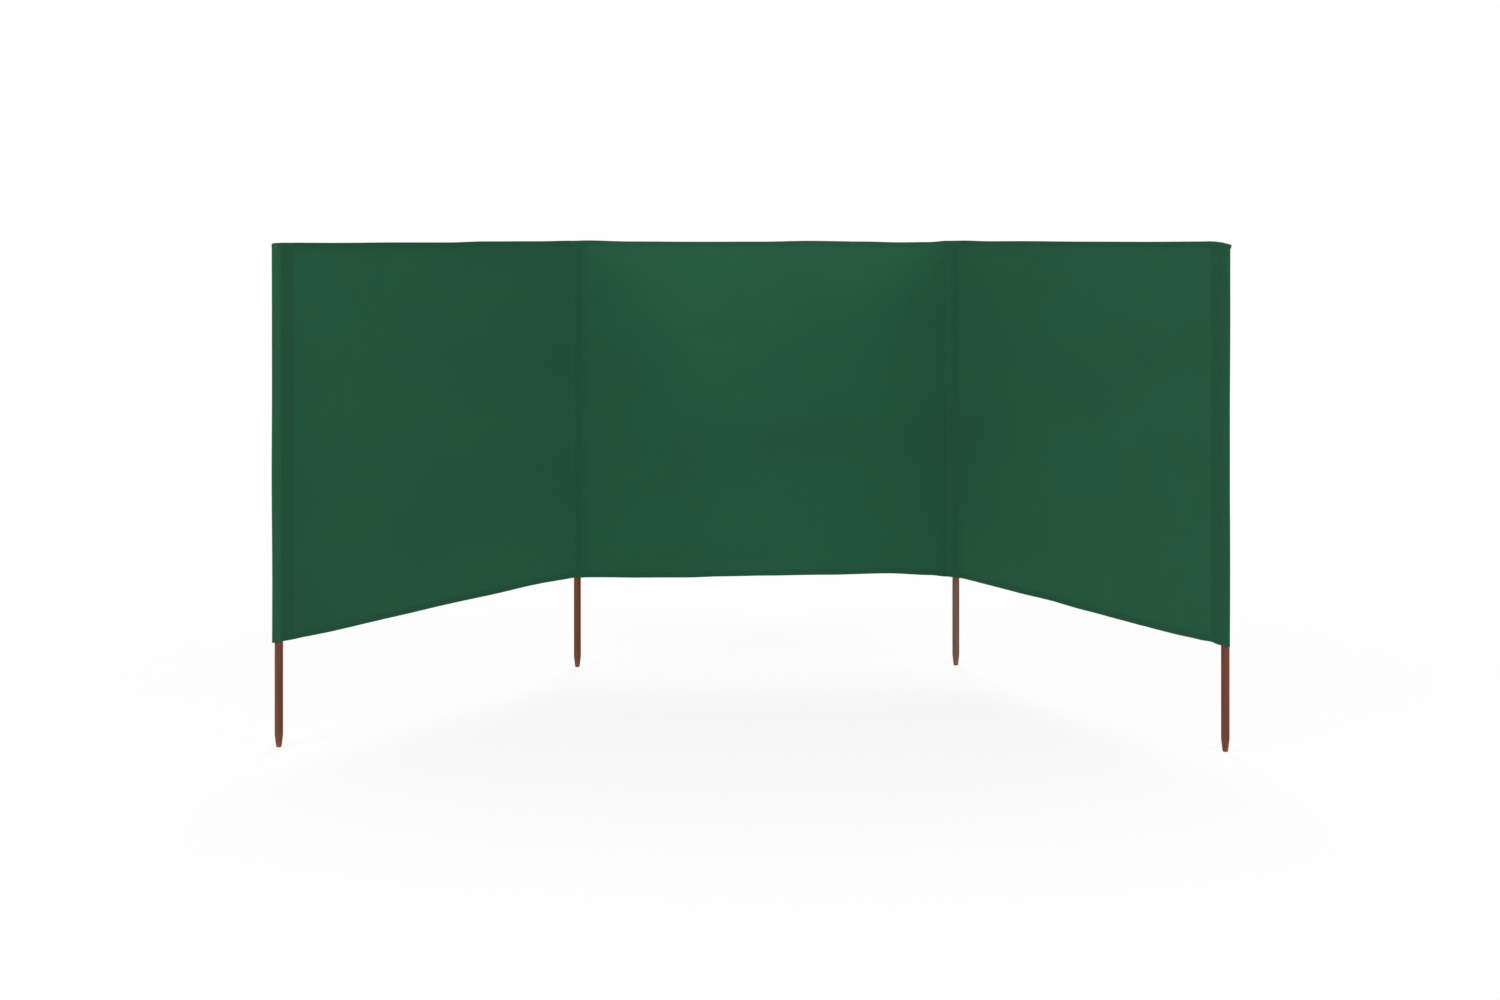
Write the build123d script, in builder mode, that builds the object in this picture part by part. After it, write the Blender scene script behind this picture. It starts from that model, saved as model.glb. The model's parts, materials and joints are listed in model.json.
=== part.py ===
from build123d import *
from collections import namedtuple
import math
import os

# A three-bay beach windbreak. The origin is the tip of the inner left pole, the centre bay's cloth
# runs along +X to the inner right pole, and the side bays stand swung forward, towards -Y.

# Poles
pole_diameter = 25.0
pole_length = 1500.0
tip_diameter = 16.0
tip_length = 37.0
tip_rounding = 3.0
shoulder_rounding = 60.0
pole_top_rounding = 2.0

# Cloth
bay_pitch = 1355.0
cloth_height = 1200.0
cloth_thickness = 0.7
hem_height = 20.0

# Sleeves, which hold the poles on the rear side of the cloth between two seams. An end sleeve is
# one loop of cloth, folded beyond its pole and sewn down on the near side. The front of a sleeve
# runs on flat from the bays beside it, so its pole stands a little more than its radius behind them.
pole_clearance = 0.3
pole_set_back = 12.0
inner_seam_reach = 30.0
end_seam_reach = 47.0
end_fold_reach = 27.0
seam_radius = 1.0
end_fold_radius = 3.0

# The cloth bends along the inner sleeves' seams, so it stops just short of them. Its hems lie on
# the rear face and stop shorter, to clear a sleeve's side when the cloth is folded back on it.
seam_clearance = 0.75
hem_clearance = 1.3

# How far each side bay is swung forward from the straight line, in degrees. Half of the turn is
# made at each side of the inner pole.
left_swing_angle = 53.2
right_swing_angle = 61.9

# Worked out from the sizes above
pole_radius = pole_diameter / 2
sleeve_radius = pole_radius + pole_clearance + cloth_thickness
sleeve_top = pole_length + pole_clearance
cloth_top = sleeve_top + hem_height
cloth_bottom = cloth_top - cloth_height
centre_length = bay_pitch - 2 * inner_seam_reach
side_length = bay_pitch - inner_seam_reach - end_seam_reach

up = (0, 0, 1)


def plane_at(origin, heading):
    """A level plane whose local x runs along the cloth from left to right, at a heading in degrees."""
    turn = math.radians(heading)
    return Plane(origin=origin, x_dir=(math.cos(turn), math.sin(turn), 0), z_dir=up)


def on(plane, x, y):
    """The point of the row that lies at x along and y behind a plane's origin."""
    return plane.from_local_coords((x, y, 0))


# Each pole stands at the origin of its own plane. The planes are chained through the seams, from
# the inner left pole outwards.
inner_left_plane = plane_at((0, 0, 0), left_swing_angle / 2)
left_plane = plane_at(on(inner_left_plane, -inner_seam_reach, -pole_set_back), left_swing_angle)
outer_left_plane = plane_at(on(left_plane, inner_seam_reach - bay_pitch, pole_set_back), left_swing_angle)

centre_plane = plane_at(on(inner_left_plane, inner_seam_reach, -pole_set_back), 0)
right_turn_start = plane_at(on(centre_plane, centre_length, 0), -right_swing_angle / 2)
inner_right_plane = plane_at(on(right_turn_start, inner_seam_reach, pole_set_back), -right_swing_angle / 2)
right_plane = plane_at(on(inner_right_plane, inner_seam_reach, -pole_set_back), -right_swing_angle)
outer_right_plane = plane_at(on(right_plane, bay_pitch - inner_seam_reach, pole_set_back), -right_swing_angle)

# A sleeve reaches from its pole to the middle of the fold or seam on each side
Sleeve = namedtuple("Sleeve", "plane left_reach left_radius right_reach right_radius")
fold_middle = end_fold_reach - end_fold_radius
sleeves = {
    "outer_left": Sleeve(outer_left_plane, fold_middle, end_fold_radius, end_seam_reach, seam_radius),
    "inner_left": Sleeve(inner_left_plane, inner_seam_reach, seam_radius, inner_seam_reach, seam_radius),
    "inner_right": Sleeve(inner_right_plane, inner_seam_reach, seam_radius, inner_seam_reach, seam_radius),
    "outer_right": Sleeve(outer_right_plane, end_seam_reach, seam_radius, fold_middle, end_fold_radius),
}

# A bay's cloth runs between two seams: it bends at some, and is fast to an end sleeve at others
Bay = namedtuple("Bay", "plane start stop bending_seams fast_seams")
bays = {
    "left": Bay(left_plane, -side_length, 0, [0], [-side_length]),
    "centre": Bay(centre_plane, 0, centre_length, [0, centre_length], []),
    "right": Bay(right_plane, 0, side_length, [0], [side_length]),
}


def save(builder, name):
    """Label a finished piece and write it to its own file."""
    builder.part.label = name
    export_step(builder.part, f"parts/{name}.step")


def sleeve_outline(sleeve, inset):
    """Cloth drawn tight from a seam round the pole to the seam or fold on its other side.

    inset is 0 for the cloth's outer face and its thickness for the inner face.
    """
    Circle(sleeve_radius - inset)
    front = -pole_set_back - seam_radius
    with Locations((-sleeve.left_reach, front + sleeve.left_radius)):
        Circle(sleeve.left_radius - inset)
    with Locations((sleeve.right_reach, front + sleeve.right_radius)):
        Circle(sleeve.right_radius - inset)
    make_hull()


def make_pole(name, plane):
    """A round wooden pole, turned about its axis, with a tapered tip worn blunt."""
    side = Plane(origin=plane.origin, x_dir=plane.x_dir, z_dir=-plane.y_dir)
    with BuildPart() as pole:
        with BuildSketch(side):
            with BuildLine():
                Polyline(
                    (0, 0),
                    (tip_diameter / 2, 0),
                    (pole_radius, tip_length),
                    (pole_radius, pole_length),
                    (0, pole_length),
                    close=True,
                )
            make_face()
        revolve(axis=Axis(plane.origin, up))
        rims = pole.edges().filter_by(GeomType.CIRCLE).sort_by(Axis.Z)
        fillet(rims[2], radius=pole_top_rounding)
        fillet(rims[1], radius=shoulder_rounding)
        fillet(rims[0], radius=tip_rounding)
    save(pole, f"{name}_pole")


def make_sleeve(name, sleeve):
    """The sleeve about a pole, open below, from the cloth's lower edge to the pole's top."""
    height = sleeve_top - cloth_bottom
    with BuildPart() as pocket:
        with BuildSketch(sleeve.plane.offset(cloth_bottom)):
            sleeve_outline(sleeve, 0)
        extrude(amount=height)
        with BuildSketch(sleeve.plane.offset(cloth_bottom)):
            sleeve_outline(sleeve, cloth_thickness)
        extrude(amount=height, mode=Mode.SUBTRACT)
    save(pocket, f"{name}_pocket")


def make_sleeve_top(name, sleeve):
    """The hem sewn shut across a sleeve: cloth over the pole's top, and a flat double strip above."""
    strip_length = sleeve.left_reach + sleeve.right_reach
    strip_middle = (sleeve.right_reach - sleeve.left_reach) / 2
    with BuildPart() as closure:
        with BuildSketch(sleeve.plane.offset(sleeve_top)):
            sleeve_outline(sleeve, 0)
        extrude(amount=cloth_thickness)
        with BuildSketch(sleeve.plane.offset(sleeve_top)):
            with Locations((strip_middle, -pole_set_back)):
                Rectangle(strip_length, 2 * cloth_thickness)
        extrude(amount=hem_height)
    save(closure, f"{name}_pocket_top")


def make_strip(name, bay, base, height, layer, clearance):
    """One layer of a bay's cloth, cut round at the seams that it bends along or is sewn to.

    Layer 0 is the panel, and layer 1 lies on its rear face.
    """
    middle = (bay.start + bay.stop) / 2
    fast_radius = seam_radius if layer == 0 else seam_radius + clearance
    with BuildPart() as strip:
        with BuildSketch(bay.plane.offset(base)):
            with Locations((middle, layer * cloth_thickness)):
                Rectangle(bay.stop - bay.start, cloth_thickness)
            for seam in bay.bending_seams:
                with Locations((seam, 0)):
                    Circle(seam_radius + clearance, mode=Mode.SUBTRACT)
            for seam in bay.fast_seams:
                with Locations((seam, 0)):
                    Circle(fast_radius, mode=Mode.SUBTRACT)
        extrude(amount=height)
    save(strip, name)


os.makedirs("parts", exist_ok=True)

for sleeve_name, sleeve in sleeves.items():
    make_pole(sleeve_name, sleeve.plane)
    make_sleeve(sleeve_name, sleeve)
    make_sleeve_top(sleeve_name, sleeve)

for bay_name, bay in bays.items():
    make_strip(f"{bay_name}_panel", bay, cloth_bottom, cloth_height, 0, seam_clearance)
    make_strip(f"{bay_name}_top_hem", bay, cloth_top - hem_height, hem_height, 1, hem_clearance)
    make_strip(f"{bay_name}_bottom_hem", bay, cloth_bottom, hem_height, 1, hem_clearance)

for sleeve_name, sleeve in sleeves.items():
    foot = sleeve.plane.origin
    print(f"{sleeve_name} pole stands at x {foot.X:.3f}, y {foot.Y:.3f}")
for hinge_name, hinge in (
    ("left bay", left_plane.origin),
    ("centre bay", centre_plane.origin),
    ("inner right sleeve", right_turn_start.origin),
    ("right bay", right_plane.origin),
):
    print(f"{hinge_name} bends along the seam at x {hinge.X:.3f}, y {hinge.Y:.3f}")
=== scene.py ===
# %% [markdown]
# # A beach windbreak: three bays of green cloth on four wooden poles
#
# The real object is one long strip of cloth. It is sewn into a sleeve round each of four stained
# poles, whose tips are pushed into the sand. Here it stands in a shallow U, seen from the inside.
#
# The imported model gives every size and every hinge, and this script dresses it. The poles keep
# their solids and only get a finish. The cloth's solids are flat and plain, so new cloth is hung in
# their places: flat grids, laid along the same lines, with a fold at each hem, a little slack and
# rows of stitches.

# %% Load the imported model
import json
import math
from collections import namedtuple

import bmesh
import bpy
from mathutils import Matrix, Vector, noise


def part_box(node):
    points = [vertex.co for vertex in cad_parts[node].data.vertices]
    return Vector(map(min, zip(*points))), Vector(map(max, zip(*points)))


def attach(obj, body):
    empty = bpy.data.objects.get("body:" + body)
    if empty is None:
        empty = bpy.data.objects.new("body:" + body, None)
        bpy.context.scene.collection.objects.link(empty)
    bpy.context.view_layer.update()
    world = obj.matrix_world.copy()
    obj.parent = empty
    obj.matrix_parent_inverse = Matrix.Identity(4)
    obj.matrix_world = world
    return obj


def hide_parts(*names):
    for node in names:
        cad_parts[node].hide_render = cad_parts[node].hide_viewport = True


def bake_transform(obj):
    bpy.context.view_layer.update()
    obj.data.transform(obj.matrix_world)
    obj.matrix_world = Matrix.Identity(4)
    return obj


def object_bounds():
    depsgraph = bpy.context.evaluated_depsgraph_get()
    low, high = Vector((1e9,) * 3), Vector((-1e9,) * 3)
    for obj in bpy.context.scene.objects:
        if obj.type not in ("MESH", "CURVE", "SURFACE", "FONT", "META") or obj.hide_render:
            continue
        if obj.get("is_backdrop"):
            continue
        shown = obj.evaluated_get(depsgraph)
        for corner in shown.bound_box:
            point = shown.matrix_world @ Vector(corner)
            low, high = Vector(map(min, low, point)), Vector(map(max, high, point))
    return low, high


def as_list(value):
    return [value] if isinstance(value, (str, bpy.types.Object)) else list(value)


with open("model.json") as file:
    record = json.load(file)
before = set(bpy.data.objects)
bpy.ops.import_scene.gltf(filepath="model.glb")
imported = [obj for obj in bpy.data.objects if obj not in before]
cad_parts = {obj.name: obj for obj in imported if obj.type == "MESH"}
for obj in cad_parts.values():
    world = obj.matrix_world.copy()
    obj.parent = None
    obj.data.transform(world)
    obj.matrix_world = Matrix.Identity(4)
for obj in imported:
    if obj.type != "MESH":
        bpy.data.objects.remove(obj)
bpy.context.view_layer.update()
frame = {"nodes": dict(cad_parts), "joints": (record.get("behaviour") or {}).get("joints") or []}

# %% [markdown]
# ## The camera
#
# The photograph was taken level, at the height of the cloth's top edge: that edge is a straight line
# across the picture, while the lower edges slope. Where the four poles stand in the picture gives
# the distance and the lens. A level camera keeps upright things upright, and so the frame is moved
# down with the lens's shift rather than by tilting the camera.

# %% Place the camera
picture_width = 1500
picture_height = 1000
horizon = 242.2
focal_length = 1925.9
sensor_width = 36
camera_heading = -1.215

lens = bpy.data.cameras.new("level_camera")
lens.sensor_width = sensor_width
lens.lens = sensor_width * focal_length / picture_width
lens.shift_y = (horizon - picture_height / 2) / picture_width
lens.clip_end = 200
camera = bpy.data.objects.new("level_camera", lens)
camera.location = (0.472, -6.9123, 1.5212)
camera.rotation_euler = (math.radians(90), 0, math.radians(camera_heading))
bpy.context.scene.collection.objects.link(camera)
bpy.context.scene.camera = camera
print(f"lens {lens.lens:.1f} mm, shift {lens.shift_y:.3f}")

# %% [markdown]
# ## Where the cloth runs
#
# Seen from above, the cloth is a chain of straight runs that bends only at upright seams: one on each
# side of the two inner poles. The model's hinges are these seams, and with the poles' places they
# give every heading and length. A side bay ends in a sleeve of its own, sewn down a little way before
# the pole. No hinge marks that seam or the fold beyond the pole, so their reaches are numbers here.

# %% Read the seams and the poles
up = Vector((0, 0, 1))
seam_at = {joint["name"]: Vector(joint["pos_m"][:2]).to_3d() for joint in frame["joints"]}
pole_at = {}
for end in ("outer_left", "inner_left", "inner_right", "outer_right"):
    low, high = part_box(f"{end}_pole")
    pole_at[end] = Vector(((low.x + high.x) / 2, (low.y + high.y) / 2, 0))

panel_low, panel_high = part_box("centre_panel")
bottom = panel_low.z
top = panel_high.z
low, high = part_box("inner_left_pole")
pole_top = high.z
pole_radius = (high.x - low.x) / 2
print(f"cloth from {bottom:.3f} to {top:.3f} m")
print(f"pole tops at {pole_top:.3f} m, radius {pole_radius:.4f} m")

# %% Work out the runs of cloth
Run = namedtuple("Run", "start direction before after length")
end_seam_reach = 0.047
end_fold_reach = 0.027


def turned(direction, degrees):
    """A level direction, turned about the upright axis."""
    return Matrix.Rotation(math.radians(degrees), 3, "Z") @ direction


left_seam = seam_at["left_bay_bend"]
centre_start = seam_at["centre_bay_bend"]
centre_stop = seam_at["inner_right_post_bend"]
right_seam = seam_at["right_bay_bend"]

inner_left_way = (centre_start - left_seam).normalized()
centre_line = centre_stop - centre_start
centre_way = centre_line.normalized()
inner_right_way = (right_seam - centre_stop).normalized()

inner_reach = (centre_start - left_seam).length / 2
set_back = ((left_seam + centre_start) / 2 - pole_at["inner_left"]).length


def sight_line(seam, pole):
    """The straight line from a seam to an end pole, and how far the cloth leans off it, in degrees."""
    straight = pole - seam
    lean = math.degrees(math.asin(set_back / straight.length))
    return straight, lean


straight, lean = sight_line(left_seam, pole_at["outer_left"])
left_way = turned(-straight.normalized(), lean)
side_length = math.sqrt(straight.length**2 - set_back**2) - end_seam_reach
straight, lean = sight_line(right_seam, pole_at["outer_right"])
right_way = turned(straight.normalized(), -lean)
sleeve_length = end_seam_reach + end_fold_reach
left_start = left_seam - left_way * side_length
left_end = left_start - left_way * sleeve_length
right_stop = right_seam + right_way * side_length

runs = {
    "outer_left": Run(left_end, left_way, left_way, left_way, sleeve_length),
    "left": Run(left_start, left_way, left_way, inner_left_way, side_length),
    "inner_left": Run(left_seam, inner_left_way, left_way, centre_way, 2 * inner_reach),
    "centre": Run(centre_start, centre_way, inner_left_way, inner_right_way, centre_line.length),
    "inner_right": Run(centre_stop, inner_right_way, centre_way, right_way, 2 * inner_reach),
    "right": Run(right_seam, right_way, inner_right_way, right_way, side_length),
    "outer_right": Run(right_stop, right_way, right_way, right_way, sleeve_length),
}
for name, run in runs.items():
    heading = math.degrees(math.atan2(run.direction.y, run.direction.x))
    print(f"{name}: {run.length * 1000:.0f} mm long, heading {heading:.1f} degrees")

# %% [markdown]
# ## Following a run round its corners
#
# Cloth has no sharp corner where it turns at a seam. The last few millimetres on each side lie on a
# short curve, from one heading to the next. Both pieces that meet at a seam use this same curve, so
# their edges touch and point the same way.

# %% A point on a run
corner = 0.005


def follow(run, distance):
    """The place on the ground below the cloth, and the level direction that points behind it."""
    past = distance - min(max(distance, 0), run.length)
    if distance < corner:
        turn = 0.5 + 0.5 * max(distance, 0) / corner
        seam = run.start
        first, second = run.before, run.direction
    elif distance > run.length - corner:
        turn = 0.5 - 0.5 * max(run.length - distance, 0) / corner
        seam = run.start + run.direction * run.length
        first, second = run.direction, run.after
    else:
        return run.start + run.direction * distance, up.cross(run.direction)
    place = seam + corner * (turn**2 * second - (1 - turn) ** 2 * first) + past * run.direction
    way = ((1 - turn) * first + turn * second).normalized()
    return place, up.cross(way)


half_way, behind = follow(runs["centre"], 0)
print("half way round a corner:", [round(value, 4) for value in half_way])

# %% [markdown]
# ## Slack
#
# A windbreak is never as flat as its solids. Pulled tight between poles, each bay still bellies out
# a little away from the viewer, and its hems rise and dip by a few millimetres: they are pushed up
# over the inner poles' tops, and they droop at the two end corners. The heights below, in
# millimetres, were fitted to the photograph's edges, with the distance along the run in metres.
#
# A physics simulation could drape this cloth, but it is held on all sides and shows no folds. A few
# gentle curves are quicker and keep every seam exactly in place, with some smooth noise for the
# faint drag lines and for the tucks that a row of stitches pulls into the cloth beside it.

# %% How high each edge rides
top_rise = {
    "outer_left": ((0, -3.6), (0.008, -1.4), (0.016, -0.8), (0.034, -0.4), (0.074, -0.6)),
    "left": ((0, -0.6), (0.16, -1.2), (0.45, 0.2), (0.68, 0.1), (0.85, 3.6), (1.12, 4.2), (1.278, 6.2)),
    "inner_left": ((0, 6.2), (0.06, 7.4)),
    "centre": (
        (0, 7.4), (0.155, 3.6), (0.4, 2.5), (0.64, 3.0), (0.8, 5.8), (1.0, 3.2), (1.127, 0.4),
        (1.235, 1.5), (1.295, 6.2),
    ),
    "inner_right": ((0, 6.2), (0.06, 6.8)),
    "right": ((0, 6.8), (0.163, 4.2), (0.33, 4.6), (0.65, 2.8), (1.0, 2.1), (1.227, 3.0), (1.278, 3.6)),
    "outer_right": ((0, 3.6), (0.014, 3.4), (0.04, 1.0), (0.062, -2.2), (0.074, -6.5)),
}
bottom_rise = {
    "outer_left": ((0, -2.8), (0.034, -1.5), (0.074, -2.5)),
    "left": (
        (0, -2.5), (0.16, -5.5), (0.45, -4.2), (0.69, -2.0), (0.85, -1.5), (1.12, 4.0), (1.278, 1.5),
    ),
    "inner_left": ((0, 1.5), (0.06, -0.5)),
    "centre": (
        (0, -0.5), (0.2, -4.6), (0.37, -5.6), (0.48, -2.8), (0.64, -0.8), (0.86, 2.1), (1.09, 8.0),
        (1.235, 2.5), (1.295, -2.5),
    ),
    "inner_right": ((0, -2.5), (0.06, -3.5)),
    "right": (
        (0, -3.5), (0.33, -4.9), (0.5, -3.0), (0.65, -5.8), (0.95, -6.6), (1.09, -5.7),
        (1.227, -2.7), (1.278, 0),
    ),
    "outer_right": ((0, 0), (0.03, -3.0), (0.074, -2.7)),
}


def smooth(low, high, value):
    """0 below low and 1 above high, with a soft curve between them."""
    share = min(max((value - low) / (high - low), 0), 1)
    return share * share * (3 - 2 * share)


def height_at(knots, distance):
    """The rise of an edge, in metres, on a soft curve through its knots."""
    for (near, first), (far, second) in zip(knots, knots[1:]):
        if distance <= far:
            return (first + (second - first) * smooth(near, far, distance)) / 1000
    return knots[-1][1] / 1000


dip = height_at(top_rise["centre"], 1.127)
print(f"the centre bay's top edge dips to {dip * 1000:.1f} mm")

# %% How far the cloth bellies out behind
belly = {"left": 0.022, "centre": 0.028, "right": 0.006}
held_length = 0.09
broad_depth = 0.0042
drag_depth = 0.0013
pucker_depth = 0.0011
tuck_depth = 0.0009


def slack(name, distance, height):
    """How far the cloth of a bay stands behind its straight line."""
    length = runs[name].length
    share = (height - bottom) / (top - bottom)
    held = smooth(0, held_length, distance) * smooth(0, held_length, length - distance)
    upright = 0.86 + 0.14 * math.sin(math.pi * share)
    curve = belly[name] * math.sin(math.pi * distance / length) * upright
    offset = sum(map(ord, name))
    broad = noise.noise(Vector((distance * 2.1, height * 1.7, offset)))
    drag = noise.noise(Vector((distance * 2.6 + height * 1.1, height * 9.0, offset + 7)))
    pucker = noise.noise(Vector((distance * 22, 0.3, offset + 3)))
    near_hem = 1 - smooth(0.01, 0.09, min(height - bottom, top - height))
    from_seam = min(distance, length - distance)
    beside_seam = smooth(0, 0.022, from_seam) * (1 - smooth(0.03, 0.17, from_seam))
    tuck = noise.noise(Vector((from_seam * 5, height * 27, offset + 11)))
    puckers = pucker_depth * near_hem * pucker * smooth(0, 0.05, from_seam)
    small = puckers + tuck_depth * beside_seam * tuck
    return curve + held * (broad_depth * broad + drag_depth * drag) + small


middle_slack = slack("centre", runs["centre"].length / 2, (bottom + top) / 2)
print(f"the centre bay stands back {middle_slack * 1000:.1f} mm at its middle")

# %% [markdown]
# ## Cloth from a flat grid
#
# Every piece of cloth starts as it is cut: a flat grid, with a column for each station along the run
# and a row for each level up the cloth. While it is still flat it gets its UV map, in metres, so the
# weave keeps one size everywhere and goes round folds as woven cloth does. Then each corner of the
# grid is hung in its place. A layer value goes with it, which paints shade into the cloth's colour:
# where a second layer or a pole lies behind, less light would come through and the cloth is darker.
#
# Solidify gives the cloth its thickness at the end. Modelling both faces by hand would double the
# work and gain nothing.

# %% Lay, hang and thicken a piece of cloth
cloth_thickness = 0.0007
layer_gap = 0.00075
same_spot = 0.00002
# The layers value of a station or a level is painted shade: darker where less light would come through.
Station = namedtuple("Station", "flat x y layers")
Level = namedtuple("Level", "flat height depth layers")


def make_object(name, mesh):
    """Put a finished mesh into the scene."""
    data = bpy.data.meshes.new(name)
    mesh.to_mesh(data)
    mesh.free()
    piece = bpy.data.objects.new(name, data)
    bpy.context.scene.collection.objects.link(piece)
    return piece


def hang_cloth(name, stations, levels, place, closed=False):
    """A grid of cloth whose corners are hung by place(station, level)."""
    columns = len(stations) - 1
    rows = len(levels) - 1
    mesh = bmesh.new()
    bmesh.ops.create_grid(mesh, x_segments=columns, y_segments=rows, size=1)
    flat_map = mesh.loops.layers.uv.new("metres")
    painted_shade_map = mesh.verts.layers.float.new("layers")
    spots = {}
    for vert in mesh.verts:
        column = round((vert.co.x + 1) / 2 * columns)
        row = round((vert.co.y + 1) / 2 * rows)
        spots[vert] = (stations[column], levels[row])
    for face in mesh.faces:
        for loop in face.loops:
            station, level = spots[loop.vert]
            loop[flat_map].uv = (station.flat, level.flat)
    for vert, (station, level) in spots.items():
        # Painted shade: each corner takes the darker of its station's and its level's layer value.
        vert[painted_shade_map] = max(station.layers, level.layers)
        vert.co = place(station, level)
    if closed:
        bmesh.ops.remove_doubles(mesh, verts=mesh.verts, dist=same_spot)
    bmesh.ops.recalc_face_normals(mesh, faces=mesh.faces)
    for face in mesh.faces:
        face.smooth = True
    for edge in mesh.edges:
        edge.smooth = not edge.is_boundary
    piece = make_object(name, mesh)
    wall = piece.modifiers.new("thickness", "SOLIDIFY")
    wall.thickness = cloth_thickness
    wall.offset = 0
    wall.use_even_offset = False
    print(f"{name}: {columns} by {rows} cells")
    return piece


# %% [markdown]
# ## The hems
#
# Along the top and the bottom the cloth is turned under to the rear by 20 mm and sewn down. In the
# grid that is a few rows more at each end: down behind, round the fold and up the front.

# %% Levels up a bay
hem_height = 0.020
row_step = 0.0098


def bay_levels():
    """Rows from the bottom hem's inner edge, round the fold, up the front and into the top hem."""
    turn = layer_gap / 2
    # The last number of each row is painted shade: 1 where the hem lies double.
    profile = [(bottom + height, layer_gap, 1) for height in (hem_height, 0.0165, 0.012, 0.006, 0.0008)]
    profile += [(bottom + 0.00005, turn, 1)]
    rows = (0.0008, 0.005, 0.010, 0.015, hem_height - 0.0004)
    profile += [(bottom + height, 0, 1) for height in rows]
    first = bottom + hem_height + 0.0006
    last = top - hem_height - 0.0006
    count = round((last - first) / row_step)
    profile += [(first + (last - first) * step / count, 0, 0) for step in range(count + 1)]
    profile += [(top - height, 0, 1) for height in reversed(rows)]
    profile += [(top - 0.00005, turn, 1)]
    profile += [(top - height, layer_gap, 1) for height in (0.0008, 0.006, 0.012, 0.0165, hem_height)]
    levels = []
    flat = 0
    for index, (height, depth, layers) in enumerate(profile):
        if index:
            flat += math.hypot(height - profile[index - 1][0], depth - profile[index - 1][1])
        levels.append(Level(flat, height, depth, layers))
    return levels


cloth_levels = bay_levels()

# %% Stations along a bay
column_step = 0.0105
near_seam = (
    0, 0.0008, 0.0018, 0.003, 0.0042, 0.0055, 0.007, 0.009, 0.011, 0.0135, 0.017, 0.0215, 0.028, 0.037,
)


def bay_stations(name):
    """Columns along a bay, close together near both seams, where the cloth bends."""
    length = runs[name].length
    count = 2 * round((length / 2 - near_seam[-1]) / column_step)
    step = (length - 2 * near_seam[-1]) / count
    places = list(near_seam[:-1]) + [near_seam[-1] + step * index for index in range(count + 1)]
    places += [length - distance for distance in reversed(near_seam[:-1])]
    return [Station(distance, distance, 0, 0) for distance in places]


def hang_bay(name):
    """A rule that puts a point of a bay's flat cloth in its place."""

    def place(station, level):
        ground, behind = follow(runs[name], station.x)
        share = (level.height - bottom) / (top - bottom)
        low = height_at(bottom_rise[name], station.x)
        high = height_at(top_rise[name], station.x)
        depth = slack(name, station.x, level.height) + level.depth
        return ground + behind * depth + up * (level.height + low + (high - low) * share)

    return place


print(len(bay_stations("centre")), "stations along the centre bay")

# %% [markdown]
# ## The three bays
#
# A bay's cloth is meant to follow its own body and bend near a seam as the bay swings, but nothing
# here ties it to a body. One piece can bend at one joint only. The side bays have one, but the centre
# bay has a joint at each end, so its cloth is made in two halves that meet in the middle, where
# neither would bend. Both halves come from one list of stations, so their edges match.

# %% Hang the bays
centre_stations = bay_stations("centre")
halfway = len(centre_stations) // 2
bay_cloth = {
    "left_cloth": ("left", bay_stations("left")),
    "centre_left_cloth": ("centre", centre_stations[: halfway + 1]),
    "centre_right_cloth": ("centre", centre_stations[halfway:]),
    "right_cloth": ("right", bay_stations("right")),
}
cloth = {}
for name, (bay, stations) in bay_cloth.items():
    cloth[name] = hang_cloth(name, stations, cloth_levels, hang_bay(bay))

# %% [markdown]
# ## The sleeves
#
# At an inner pole the long cloth runs straight on, and a strip of the same cloth is sewn behind it
# along two seams. The pole is pushed up between them. At an end pole the cloth itself goes round
# the pole and back, and is sewn down on the near side. Beyond the pole it hangs loose in a fold.
#
# Either way the sleeve is a loop. Its outline is drawn once, seen from above, as a belt: flat along
# the front, round the pole behind, and down to a flat flange that takes the stitches. The loop is
# then unrolled into stations for the same flat grid.

# %% A belt round a pole
pole_clearance = 0.0003
belt_radius = pole_radius + pole_clearance + cloth_thickness / 2
swell = belt_radius - set_back
swell_reach = 0.021
Bend = namedtuple("Bend", "x y radius")


def arc(bend, first, last, steps):
    """Points round a circle, between two angles in degrees."""
    points = []
    for step in range(steps + 1):
        angle = math.radians(first + (last - first) * step / steps)
        points.append((bend.x + bend.radius * math.cos(angle), bend.y + bend.radius * math.sin(angle)))
    return points


def between(start, stop, steps):
    """Evenly spaced points on a straight line, without its start."""
    (x, y), (far_x, far_y) = start, stop
    shares = [step / steps for step in range(1, steps + 1)]
    return [(x + (far_x - x) * share, y + (far_y - y) * share) for share in shares]


def leaving_angle(pole, other, side):
    """The angle at which a straight line from the pole's far side leaves for another circle."""
    across = other.x - pole.x
    back = other.y - pole.y
    reach = math.hypot(across, back)
    spread = math.degrees(math.acos((pole.radius - other.radius) / reach))
    return math.degrees(math.atan2(back, across)) % 360 + side * spread


def front_line(first, last, steps):
    """The front of a sleeve: flat, with a slight swell over the pole."""
    points = []
    for step in range(steps + 1):
        x = first + (last - first) * step / steps
        lift = 0.5 + 0.5 * math.cos(math.pi * min(abs(x) / swell_reach, 1))
        points.append((x, -swell * lift))
    return points


pole_bend = Bend(0, set_back, belt_radius)
print(f"the front swells {swell * 1000:.2f} mm over the pole")

# %% Outlines of the two kinds of sleeve
flange = 0.006
fold_radius = 0.00265


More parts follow.
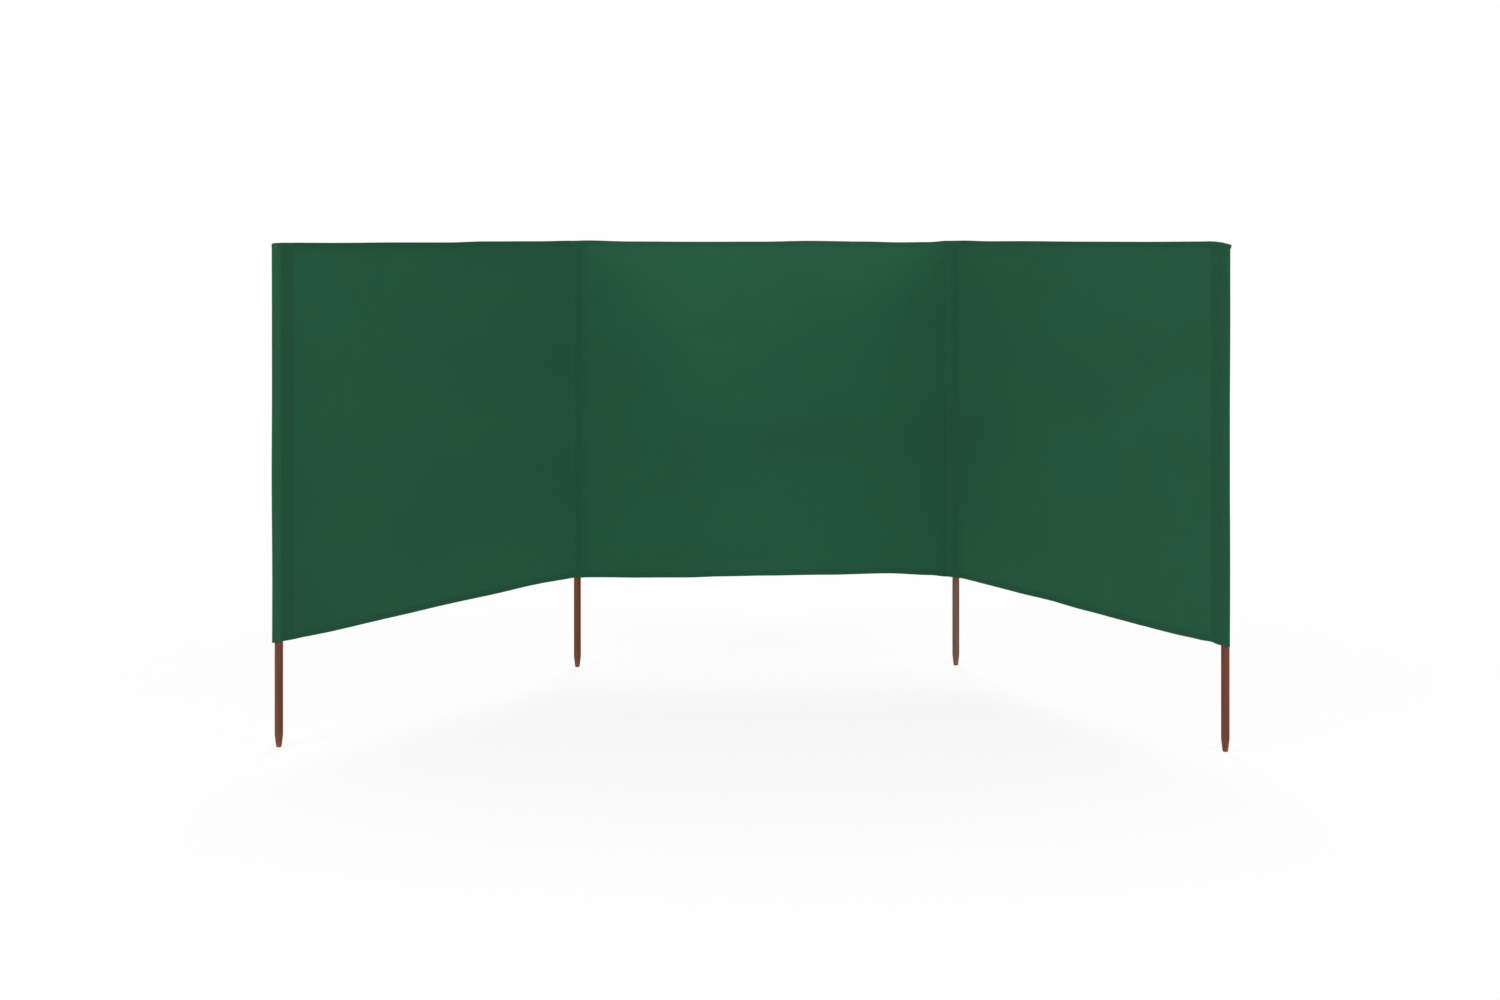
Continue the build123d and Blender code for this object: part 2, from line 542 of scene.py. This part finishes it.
def inner_outline():
    """Once round an inner sleeve, from its left seam along the front and back behind the pole."""
    edge = inner_reach
    take_off = Bend(edge - flange, layer_gap, 0)
    right_angle = leaving_angle(pole_bend, take_off, 1) % 360
    steps = [edge - distance for distance in near_seam[1:8]]
    points = [(-edge, layer_gap / 2)] + [(-x, 0) for x in [edge - 0.0001] + steps]
    points += front_line(-swell_reach, swell_reach, 18)
    points += [(x, 0) for x in reversed([edge - 0.0001] + steps)]
    points += [(edge, layer_gap / 2)] + [(x, layer_gap) for x in [edge - 0.0002] + steps[:4]]
    arrive = arc(pole_bend, right_angle, 180 - right_angle, 18)
    points += [(take_off.x, layer_gap)] + between((take_off.x, layer_gap), arrive[0], 5)[:-1]
    points += arrive + between(arrive[-1], (-take_off.x, layer_gap), 5)
    points += [(-x, layer_gap) for x in reversed([edge - 0.0002] + steps[:4])]
    points += [(-edge, layer_gap / 2)]
    return points


def end_outline(depth):
    """Once round an end sleeve, from its seam at the left to its fold at the right and back.

    depth is how far the middle of the fold lies behind the front.
    """
    edge = -end_seam_reach
    fold = Bend(end_fold_reach - fold_radius - cloth_thickness / 2, depth, fold_radius)
    take_off = Bend(edge + flange, layer_gap, 0)
    front_angle = leaving_angle(pole_bend, fold, -1) % 360 - 360
    right_angle = leaving_angle(pole_bend, fold, 1) % 360
    left_angle = leaving_angle(pole_bend, take_off, -1)
    points = [(edge, layer_gap / 2), (edge + 0.0002, 0), (edge + 0.003, 0), (edge + 0.006, 0)]
    points += [(edge + 0.01, 0), (edge + 0.016, 0), (-0.0255, 0)]
    points += front_line(-swell_reach, 0, 9)
    points += arc(pole_bend, -90, front_angle, 5)[1:]
    folded = arc(fold, front_angle, right_angle, 9)
    points += between(points[-1], folded[0], 6)[:-1] + folded
    points += arc(pole_bend, right_angle, left_angle, 18)
    points += between(points[-1], (take_off.x + 0.0014, layer_gap + 0.0012), 5)
    points += [(take_off.x, layer_gap)]
    points += [(edge + 0.003, layer_gap), (edge + 0.0002, layer_gap), (edge, layer_gap / 2)]
    return points


print(len(inner_outline()), "points round an inner sleeve")
print(len(end_outline(0.005)), "points round an end sleeve")

# %% [markdown]
# ## Closing a sleeve over its pole
#
# Above the pole the front and the back of the sleeve are sewn together into a flat strip, which stops
# the pole. Going up, the loop keeps its round outline as far as the pole's top. Then the back comes
# forward over the end grain, and the last 12 mm are flat. One number for each level says how far
# closed the loop is. The back has more cloth in it than the strip is wide, so it gathers there, and
# an end sleeve, pressed flat, sticks out a few millimetres further as a small corner.

# %% Levels and places of a sleeve
closing_rows = (
    (-0.0035, 0), (-0.0010, 0.012), (0.0004, 0.035), (0.0012, 0.08), (0.0018, 0.16),
    (0.0026, 0.3), (0.0036, 0.5), (0.0048, 0.72), (0.0062, 0.9), (0.0080, 0.985),
    (0.0100, 1), (0.0130, 1), (0.0165, 1),
)
strip_base = pole_top + 0.008
fold_side = {"outer_left": -1, "outer_right": 1}
fold_depth = {"outer_left": 0.012, "outer_right": 0.005}
flat_gain = {"outer_left": 0.001, "outer_right": 0.0055}
fold_wander = 0.0026
fold_shortfall = 0.0006
ripple_depth = 0.0006
gather_depth = 0.0011
gather_width = 0.011
pole_along = {
    "outer_left": end_fold_reach,
    "inner_left": inner_reach,
    "inner_right": inner_reach,
    "outer_right": end_seam_reach,
}


def sleeve_levels():
    """Rows up a sleeve; their depth is the share by which the loop is closed."""
    first = bottom + hem_height
    last = pole_top - 0.008
    count = round((last - first) / row_step)
    # The last number of each row is painted shade: 1 on the hem and on the flat strip over the pole.
    profile = [(bottom + height, 0, 1) for height in (0, 0.005, 0.010, 0.015, hem_height - 0.0006)]
    profile += [(first + (last - first) * step / count, 0, 0) for step in range(count + 1)]
    for height, closed in closing_rows:
        profile.append((pole_top + height, closed, 1 if height > 0.0004 else 0))
    profile += [(top, 1, 1)]
    return [Level(height - bottom, height, closed, layers) for height, closed, layers in profile]


def sleeve_stations(points, mirrored, shade_beside_pole):
    """Columns round a sleeve, measured along its outline, with the painted shade value for beside the
    pole.
    """
    stations = []
    flat = 0
    for index, (x, y) in enumerate(points):
        if index:
            flat += math.hypot(x - points[index - 1][0], y - points[index - 1][1])
        # Painted shade: full where the pole stands behind the cloth, the given share elsewhere.
        layers = 1 if abs(x) < pole_radius else shade_beside_pole
        stations.append(Station(flat, -x if mirrored else x, y, layers))
    return stations


def hang_sleeve(name):
    """A rule that puts a point of a sleeve's flat cloth in its place, a little proud if asked."""
    pole = pole_along[name]

    def place(station, level, proud=0):
        distance = station.x + pole
        beyond = smooth(pole_radius, end_fold_reach, station.x * fold_side.get(name, 0))
        if beyond:
            wave = noise.noise(Vector((level.height * 3.1, pole_at[name].x, 0.5)))
            reach = fold_wander * wave - fold_shortfall + flat_gain[name] * level.depth
            distance += fold_side[name] * beyond * reach
        ground, behind = follow(runs[name], distance)
        flat_depth = min(max(station.y, 0), layer_gap) + beyond * fold_depth.get(name, 0)
        round_depth = station.y
        if station.y > 2 * layer_gap:
            ripple = noise.noise(Vector((station.x * 60, level.height * 5, pole_at[name].x)))
            round_depth += ripple_depth * (0.5 + 0.5 * ripple)
            gather = math.cos(station.x * 2 * math.pi / gather_width)
            flat_depth += gather_depth * (0.5 + 0.5 * gather)
        depth = round_depth + (flat_depth - round_depth) * level.depth
        low = height_at(bottom_rise[name], distance) * (top - level.height) / (top - bottom)
        above = max(level.height - strip_base, 0)
        high = height_at(top_rise[name], distance) * above / (top - strip_base)
        return ground + behind * (depth + proud) + up * (level.height + low + high)

    return place


sleeve_rows = sleeve_levels()
print(len(sleeve_rows), "levels up a sleeve")

# %% Hang the sleeves
# The last number is the painted shade beside the pole: full round an end sleeve, less at an inner one.
sleeve_outlines = {
    "outer_left": sleeve_stations(end_outline(fold_depth["outer_left"]), True, 1),
    "inner_left": sleeve_stations(inner_outline(), False, 0.4),
    "inner_right": sleeve_stations(inner_outline(), False, 0.4),
    "outer_right": sleeve_stations(end_outline(fold_depth["outer_right"]), False, 1),
}
sleeves = {}
for name, stations in sleeve_outlines.items():
    sleeves[name] = hang_cloth(f"{name}_sleeve", stations, sleeve_rows, hang_sleeve(name), closed=True)

# %% [markdown]
# ## Stitches
#
# A row of stitches holds each hem, two rows run up beside each seam, and two more close a sleeve over
# its pole. Up close they say more than anything else that this is sewn cloth. A stitch is a bead of
# thread a few millimetres long. There are thousands, so each is only a small block with smooth
# shading, and all stitches of one piece are one mesh.
#
# A row is a line of points that the cloth's own rule puts in place, so it lies on the cloth wherever
# the cloth goes. The sewing then walks along it at an even pitch.

# %% Sew along a line
stitch_pitch = 0.0046
stitch_length = 0.0034
thread_width = 0.0006
first_stitch = 0.0015
proud = cloth_thickness / 2 + 0.0001


def sew(mesh, line):
    """Beads of thread at an even pitch along a line of points."""
    row = bmesh.new()
    travelled = 0
    due = first_stitch
    for start, stop in zip(line, line[1:]):
        span = (stop - start).length
        if span < 1e-7:
            continue
        way = (stop - start) / span
        turn = way.to_track_quat("X", "Z").to_matrix().to_4x4()
        size = Matrix.Diagonal((stitch_length, thread_width, thread_width, 1))
        while due <= travelled + span:
            middle = start + way * (due - travelled)
            bmesh.ops.create_cube(row, size=1, matrix=Matrix.Translation(middle) @ turn @ size)
            due += stitch_pitch
        travelled += span
    sewn = bpy.data.meshes.new("sewn_row")
    row.to_mesh(sewn)
    row.free()
    mesh.from_mesh(sewn)
    bpy.data.meshes.remove(sewn)


def finish_thread(name, mesh):
    """Turn the sewn beads into one piece."""
    for face in mesh.faces:
        face.smooth = True
    piece = make_object(name, mesh)
    print(f"{name}: {len(piece.data.polygons) // 6} stitches")
    return piece


# %% Sew the hems of the bays
hem_row = 0.0172


def sew_bay(name, bay, stations):
    """The two hem rows of a bay's cloth, seen from the front and from behind."""
    mesh = bmesh.new()
    place = hang_bay(bay)
    for height in (bottom + hem_row, top - hem_row):
        for depth in (-proud, layer_gap + proud):
            sew(mesh, [place(station, Level(0, height, depth, 0)) for station in stations])
    return finish_thread(name, mesh)


thread = {}
for name, (bay, stations) in bay_cloth.items():
    thread[name] = sew_bay(name.replace("cloth", "stitching"), bay, stations)

# %% Sew the sleeves
strip_rows = (pole_top + 0.0100, top - 0.0028)
seam_rows = (0.0024, 0.0048)
fold_margin = 0.004
strip_steps = 30


def hem_lines(name, place):
    """Round a sleeve near its lower edge, just outside the cloth, but not across a sharp fold."""
    outline = sleeve_outlines[name]
    outwards = -1 if name == "outer_left" else 1
    lines = [[]]
    for first, second in zip(outline, outline[1:]):
        across = second.x - first.x
        back = second.y - first.y
        reach = math.hypot(across, back) / (outwards * proud)
        x = (first.x + second.x) / 2 + back / reach
        y = (first.y + second.y) / 2 - across / reach
        if x * fold_side.get(name, 0) < end_fold_reach - fold_margin:
            lines[-1].append(place(Station(0, x, y, 0), Level(0, bottom + hem_row, 0, 0)))
        elif lines[-1]:
            lines.append([])
    return lines


def sew_sleeve(name):
    """Two upright rows beside each seam, a row round the lower hem, and two across the strip."""
    mesh = bmesh.new()
    place = hang_sleeve(name)
    left_edge = -pole_along[name]
    right_edge = runs[name].length - pole_along[name]
    seams = {
        "outer_left": (right_edge,),
        "inner_left": (left_edge, right_edge),
        "inner_right": (left_edge, right_edge),
        "outer_right": (left_edge,),
    }
    upright = [level for level in sleeve_rows if bottom + 0.002 < level.height < top - 0.002]
    for seam in seams[name]:
        for inset in seam_rows:
            x = math.copysign(abs(seam) - inset, seam)
            sew(mesh, [place(Station(0, x, 0, 0), level, -proud) for level in upright])
            sew(mesh, [place(Station(0, x, layer_gap, 0), level, proud) for level in upright])
    for line in hem_lines(name, place):
        sew(mesh, line)
    shares = [0.02 + 0.96 * step / strip_steps for step in range(strip_steps + 1)]
    across = [left_edge + (right_edge - left_edge) * share for share in shares]
    for height in strip_rows:
        level = Level(0, height, 1, 0)
        sew(mesh, [place(Station(0, x, 0, 0), level, -proud) for x in across])
        sew(mesh, [place(Station(0, x, 0.01, 0), level, proud) for x in across])
    return finish_thread(f"{name}_stitching", mesh)


for name in sleeves:
    thread[name] = sew_sleeve(name)

# %% [markdown]
# ## The cloth's finish
#
# The cloth is a plain woven polyester in one dark green, nearly matt, with a faint sheen at a low
# angle. Three things keep it from looking like green card. The weave is a bump made by two crossed
# waves on the UV map, one for each direction of yarn, with painted shade in the gaps between the
# yarns, and it is far too fine to see from a distance. The yarns differ slightly, which gives thin
# streaks both ways. And shade is painted into the colour where the layer value says that cloth or a
# pole lies behind and less light would come through, so the hems and sleeves are a little darker.
# The thread is the same green, with painted highlights: it is lighter at random where its twist
# would catch the light.

# %% Shorthand for material nodes
bump_depth = 0.0003


def start_material(name):
    """A new material, with its node tree and its Principled shader."""
    material = bpy.data.materials.new(name)
    material.use_nodes = True
    tree = material.node_tree
    shader = tree.nodes["Principled BSDF"]
    return material, tree, shader


def add_node(tree, kind, **settings):
    """A new node with its settings, under the names that the node itself has for them."""
    node = tree.nodes.new(kind)
    for key, value in settings.items():
        setattr(node, key, value)
    return node


def combine(tree, operation, first, second):
    """One value made of two."""
    node = add_node(tree, "ShaderNodeMath", operation=operation)
    tree.links.new(first, node.inputs[0])
    tree.links.new(second, node.inputs[1])
    return node.outputs["Value"]


def add_bump(tree, shader, height, strength):
    """A bump in the surface, from a value that stands for its height."""
    bump = add_node(tree, "ShaderNodeBump")
    bump.inputs["Strength"].default_value = strength
    bump.inputs["Distance"].default_value = bump_depth
    tree.links.new(height, bump.inputs["Height"])
    tree.links.new(bump.outputs["Normal"], shader.inputs["Normal"])


def mix_colours(tree, share, first, second):
    """A colour mix; each of its three inputs is a socket or a plain value."""
    node = add_node(tree, "ShaderNodeMix", data_type="RGBA", blend_type="MIX")
    for index, value in ((0, share), (6, first), (7, second)):
        if isinstance(value, bpy.types.NodeSocket):
            tree.links.new(value, node.inputs[index])
        else:
            node.inputs[index].default_value = value
    return node.outputs[2]


def stretched_noise(tree, source, scale, detail, size):
    """Noise on stretched coordinates: long streaks where the scale is small."""
    mapping = add_node(tree, "ShaderNodeMapping")
    mapping.inputs["Scale"].default_value = scale
    tree.links.new(source, mapping.inputs["Vector"])
    texture = add_node(tree, "ShaderNodeTexNoise")
    texture.inputs["Scale"].default_value = size
    texture.inputs["Detail"].default_value = detail
    tree.links.new(mapping.outputs["Vector"], texture.inputs["Vector"])
    return texture.outputs["Fac"]


def to_range(tree, value, low, high, out_low, out_high):
    """A value moved from one range to another, and held inside it."""
    node = add_node(tree, "ShaderNodeMapRange", clamp=True)
    tree.links.new(value, node.inputs["Value"])
    limits = {"From Min": low, "From Max": high, "To Min": out_low, "To Max": out_high}
    for name, number in limits.items():
        node.inputs[name].default_value = number
    return node.outputs["Result"]


def from_screen(red, green, blue):
    """A screen colour, from 0 to 255, turned into the linear values that Blender uses."""
    linear = []
    for value in (red, green, blue):
        value = value / 255
        linear.append(value / 12.92 if value <= 0.04045 else ((value + 0.055) / 1.055) ** 2.4)
    return (*linear, 1)


print("a middle grey is", round(from_screen(128, 128, 128)[0], 3), "in linear values")

# %% Woven green cloth
yarn_pitch = 0.00075
painted_shade_share = 0.65
cloth_green = from_screen(36, 91, 63)
cloth_dark = from_screen(34, 82, 58)
cloth_light = from_screen(41, 97, 69)
cloth_gap_shade = from_screen(25, 63, 44)
cloth_painted_shade = from_screen(32, 79, 55)

cloth_finish, tree, shader = start_material("woven_green_cloth")
uv = add_node(tree, "ShaderNodeUVMap", uv_map="metres").outputs["UV"]
place_on = add_node(tree, "ShaderNodeTexCoord").outputs["Object"]

streaks_along = stretched_noise(tree, uv, (6, 900, 1), 2, 1)
streaks_up = stretched_noise(tree, uv, (900, 6, 1), 2, 1)
patches = stretched_noise(tree, place_on, (1.6, 1.6, 3.2), 3, 1)
colour = mix_colours(tree, to_range(tree, streaks_along, 0.3, 0.7, 0, 0.6), cloth_green, cloth_light)
colour = mix_colours(tree, to_range(tree, streaks_up, 0.3, 0.7, 0, 0.45), colour, cloth_dark)
colour = mix_colours(tree, to_range(tree, patches, 0.42, 0.68, 0, 0.5), colour, cloth_dark)
# Painted shade: the layer value darkens the colour where less light would come through the cloth.
layers = add_node(tree, "ShaderNodeAttribute", attribute_name="layers").outputs["Fac"]
colour = mix_colours(tree, to_range(tree, layers, 0, 1, 0, painted_shade_share), colour, cloth_painted_shade)

waves = []
for direction in ("X", "Y"):
    wave = add_node(tree, "ShaderNodeTexWave", wave_type="BANDS", wave_profile="SIN")
    wave.bands_direction = direction
    wave.inputs["Scale"].default_value = 2 * math.pi / (20 * yarn_pitch)
    wave.inputs["Distortion"].default_value = 0.6
    wave.inputs["Detail"].default_value = 1
    tree.links.new(uv, wave.inputs["Vector"])
    waves.append(wave.outputs["Fac"])
weave = combine(tree, "MULTIPLY", waves[0], waves[1])
# Painted shade: the colour is darker in the gaps between the yarns.
colour = mix_colours(tree, to_range(tree, weave, 0.0, 0.5, 0.3, 0), colour, cloth_gap_shade)
tree.links.new(colour, shader.inputs["Base Color"])
add_bump(tree, shader, weave, 0.8)

rough = to_range(tree, streaks_along, 0.3, 0.7, 0.82, 0.94)
tree.links.new(rough, shader.inputs["Roughness"])
shader.inputs["Specular IOR Level"].default_value = 0.07
shader.inputs["Sheen Weight"].default_value = 0.03
shader.inputs["Sheen Roughness"].default_value = 0.5
shader.inputs["Sheen Tint"].default_value = from_screen(120, 170, 140)
print("yarns", round(yarn_pitch * 1000, 2), "mm apart")

# %% Sewing thread
thread_finish, tree, shader = start_material("green_thread")
place_on = add_node(tree, "ShaderNodeTexCoord").outputs["Object"]
twist = stretched_noise(tree, place_on, (1, 1, 1), 2, 900)
# Painted highlights: the thread is lighter at random, where its twist would catch the light.
thread_highlight = from_screen(48, 102, 76)
colour = mix_colours(tree, to_range(tree, twist, 0.35, 0.65, 0, 1), cloth_dark, thread_highlight)
tree.links.new(colour, shader.inputs["Base Color"])
tree.links.new(to_range(tree, twist, 0.35, 0.65, 0.5, 0.66), shader.inputs["Roughness"])
shader.inputs["Specular IOR Level"].default_value = 0.25
print("thread finish made")

# %% [markdown]
# ## The poles' finish
#
# The poles are turned softwood with a red-brown stain. Stain sinks deeper into the soft early wood
# than into the hard late wood, and this shows as long streaks. Noise gives them on the poles' own
# coordinates: squeezed across the pole and drawn out along it. The same noise, finer, raises the
# grain. One pole is a little paler, as in the photograph, and near the tips the stain is worn by sand.

# %% Stained wood
def stained_wood(name, stain, dark, bare):
    """Wood with a stain that is darker along the grain and worn off near the tip."""
    material, tree, shader = start_material(name)
    place_on = add_node(tree, "ShaderNodeTexCoord").outputs["Object"]
    figure = stretched_noise(tree, place_on, (1, 1, 0.035), 4, 210)
    fibres = stretched_noise(tree, place_on, (1, 1, 0.02), 3, 1500)
    colour = mix_colours(tree, to_range(tree, figure, 0.36, 0.66, 0, 0.85), stain, dark)
    colour = mix_colours(tree, to_range(tree, fibres, 0.35, 0.7, 0, 0.4), colour, dark)
    height = add_node(tree, "ShaderNodeSeparateXYZ")
    tree.links.new(place_on, height.inputs["Vector"])
    scuffs = stretched_noise(tree, place_on, (1, 1, 0.25), 4, 260)
    near_tip = to_range(tree, height.outputs["Z"], 0.0, 0.06, 0.4, 0.0)
    worn = combine(tree, "MULTIPLY", near_tip, to_range(tree, scuffs, 0.42, 0.62, 0, 1))
    colour = mix_colours(tree, worn, colour, bare)
    tree.links.new(colour, shader.inputs["Base Color"])
    tree.links.new(to_range(tree, figure, 0.3, 0.7, 0.48, 0.62), shader.inputs["Roughness"])
    add_bump(tree, shader, fibres, 0.35)
    shader.inputs["Specular IOR Level"].default_value = 0.2
    return material


brown_wood = stained_wood(
    "stained_wood", from_screen(103, 56, 35), from_screen(80, 41, 24), from_screen(138, 96, 68)
)
paler_wood = stained_wood(
    "stained_wood_paler", from_screen(114, 77, 60), from_screen(90, 57, 42), from_screen(150, 116, 88)
)
for end in pole_at:
    finish = paler_wood if end == "inner_right" else brown_wood
    slots = frame["nodes"][f"{end}_pole"].data.materials
    slots.clear()
    slots.append(finish)
print("poles stained:", ", ".join(pole_at))

# %% [markdown]
# ## Which body each piece follows
#
# A sleeve moves with its pole. A bay's cloth and its stitches get their places baked in, but nothing
# here ties them to a body. Each new piece stands for the plain solids of its part of the cloth,
# which are then hidden.

# %% Dress the bodies
bends = {
    "left_cloth": ("inner_left_post", "left_bay", left_seam, -left_way),
    "centre_left_cloth": ("inner_left_post", "centre_bay", centre_start, centre_way),
    "centre_right_cloth": ("inner_right_post", "centre_bay", centre_stop, -centre_way),
    "right_cloth": ("inner_right_post", "right_bay", right_seam, right_way),
}
for name, (post, bay_body, seam, way) in bends.items():
    for piece in (cloth[name], thread[name]):
        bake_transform(piece)
        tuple(seam)
    bay = bay_cloth[name][0]
    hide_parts(f"{bay}_panel", f"{bay}_top_hem", f"{bay}_bottom_hem")

sleeve_bodies = {
    "outer_left": "left_bay",
    "inner_left": "inner_left_post",
    "inner_right": "inner_right_post",
    "outer_right": "right_bay",
}
for name, body in sleeve_bodies.items():
    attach(sleeves[name], body)
    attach(thread[name], body)
    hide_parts(f"{name}_pocket", f"{name}_pocket_top")

for piece in list(cloth.values()) + list(sleeves.values()):
    piece.data.materials.append(cloth_finish)
for piece in thread.values():
    piece.data.materials.append(thread_finish)
print(len(cloth), "pieces of bay cloth,", len(sleeves), "sleeves")

# %% [markdown]
# ## The poles that hold each sheet
#
# Woven cloth gives hardly at all.

# %% The poles that hold each sheet of cloth
held_by = {
    "left_cloth": ["outer_left_pole", "inner_left_pole"],
    "centre_left_cloth": ["inner_left_pole", "inner_right_pole"],
    "centre_right_cloth": ["inner_left_pole", "inner_right_pole"],
    "right_cloth": ["inner_right_pole", "outer_right_pole"],
}
for name, poles in held_by.items():
    stations = bay_cloth[name][1]
    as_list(poles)

# %% [markdown]
# ## Floor, background and light
#
# The photograph is a cut-out on white with even light and no shadow. Here the object stands on a
# pale floor that keeps its soft shadow. Further off, the floor turns into the white background:
# for the camera's rays alone it glows white, so it adds no light to the cloth. The world does the
# same behind it.
#
# Even light comes from the world. In a corner between two bays the cloth hides part of it from
# itself, and two wide lamps, one from each side of the camera, make up for that. A third lights the
# rear. All strengths add up to a plain level, at which a colour renders about as it is written.

# %% Pale floor
floor_middle = (0.6, -0.5, 0)
floor_depth = 0.0002
fade_start = 1.2
fade_end = 3.6
least_white = 0.78

ground = bmesh.new()
bmesh.ops.create_circle(ground, cap_ends=True, segments=96, radius=60)
bmesh.ops.translate(ground, verts=ground.verts, vec=Vector(floor_middle) - floor_depth * up)
floor = make_object("pale_floor", ground)
floor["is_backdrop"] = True

floor_finish, tree, shader = start_material("pale_floor")
place_on = add_node(tree, "ShaderNodeTexCoord").outputs["Object"]
grain = stretched_noise(tree, place_on, (1, 1, 1), 3, 40)
grey, pale = (0.90, 0.90, 0.90, 1), (0.92, 0.92, 0.92, 1)
tone = mix_colours(tree, to_range(tree, grain, 0.4, 0.6, 0, 1), grey, pale)
tree.links.new(tone, shader.inputs["Base Color"])
shader.inputs["Roughness"].default_value = 0.9
shader.inputs["Specular IOR Level"].default_value = 0.1
white = add_node(tree, "ShaderNodeEmission")
white.inputs["Strength"].default_value = 1
away = add_node(tree, "ShaderNodeVectorMath", operation="DISTANCE")
away.inputs[1].default_value = floor_middle
tree.links.new(place_on, away.inputs[0])
fade = to_range(tree, away.outputs["Value"], fade_start, fade_end, least_white, 1)
rays = add_node(tree, "ShaderNodeLightPath")
seen = combine(tree, "MULTIPLY", fade, rays.outputs["Is Camera Ray"])
blend = add_node(tree, "ShaderNodeMixShader")
tree.links.new(seen, blend.inputs["Fac"])
tree.links.new(shader.outputs["BSDF"], blend.inputs[1])
tree.links.new(white.outputs["Emission"], blend.inputs[2])
tree.links.new(blend.outputs["Shader"], tree.nodes["Material Output"].inputs["Surface"])
floor.data.materials.append(floor_finish)
print("floor laid")

# %% White background and even light
even_strength = 0.53

world = bpy.data.worlds.new("studio")
world.use_nodes = True
bpy.context.scene.world = world
tree = world.node_tree
tree.nodes.clear()
even = add_node(tree, "ShaderNodeBackground")
even.inputs["Color"].default_value = (1, 1, 1, 1)
even.inputs["Strength"].default_value = even_strength
backdrop = add_node(tree, "ShaderNodeBackground")
backdrop.inputs["Color"].default_value = (1, 1, 1, 1)
backdrop.inputs["Strength"].default_value = 1
rays = add_node(tree, "ShaderNodeLightPath")
either = combine(tree, "MAXIMUM", rays.outputs["Is Camera Ray"], rays.outputs["Is Glossy Ray"])
every = combine(tree, "MAXIMUM", either, rays.outputs["Is Transmission Ray"])
choose = add_node(tree, "ShaderNodeMixShader")
tree.links.new(every, choose.inputs["Fac"])
tree.links.new(even.outputs["Background"], choose.inputs[1])
tree.links.new(backdrop.outputs["Background"], choose.inputs[2])
output = add_node(tree, "ShaderNodeOutputWorld")
tree.links.new(choose.outputs["Shader"], output.inputs["Surface"])
print("even light at", even_strength)

# %% Three wide lamps
lamp_width = 3.2
lamp_height = 3


def wide_lamp(name, place, target, power):
    """A broad, soft lamp that points at a target."""
    data = bpy.data.lights.new(name, "AREA")
    data.shape = "RECTANGLE"
    data.size = lamp_width
    data.size_y = lamp_height
    data.energy = power
    lamp = bpy.data.objects.new(name, data)
    lamp.location = place
    aim = Vector(target) - lamp.location
    lamp.rotation_euler = aim.to_track_quat("-Z", "Y").to_euler()
    bpy.context.scene.collection.objects.link(lamp)
    print(f"{name} stands {aim.length:.1f} m away")


wide_lamp("lamp_from_left", (-4.8, -5.2, 2.7), (0.9, -0.3, 0.9), 290)
wide_lamp("lamp_from_right", (5.8, -5.2, 2.7), (0.2, -0.3, 0.9), 230)
wide_lamp("lamp_from_behind", (0.8, 6.0, 4.4), (0.6, -0.4, 0.9), 260)
bpy.context.scene.view_settings.view_transform = "Standard"

# %% [markdown]
# ## Check the size and finish
#
# The dressed object should stay close to the size of its solids. Here its box is measured.

# %% Measure the dressed object's box
low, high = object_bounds()
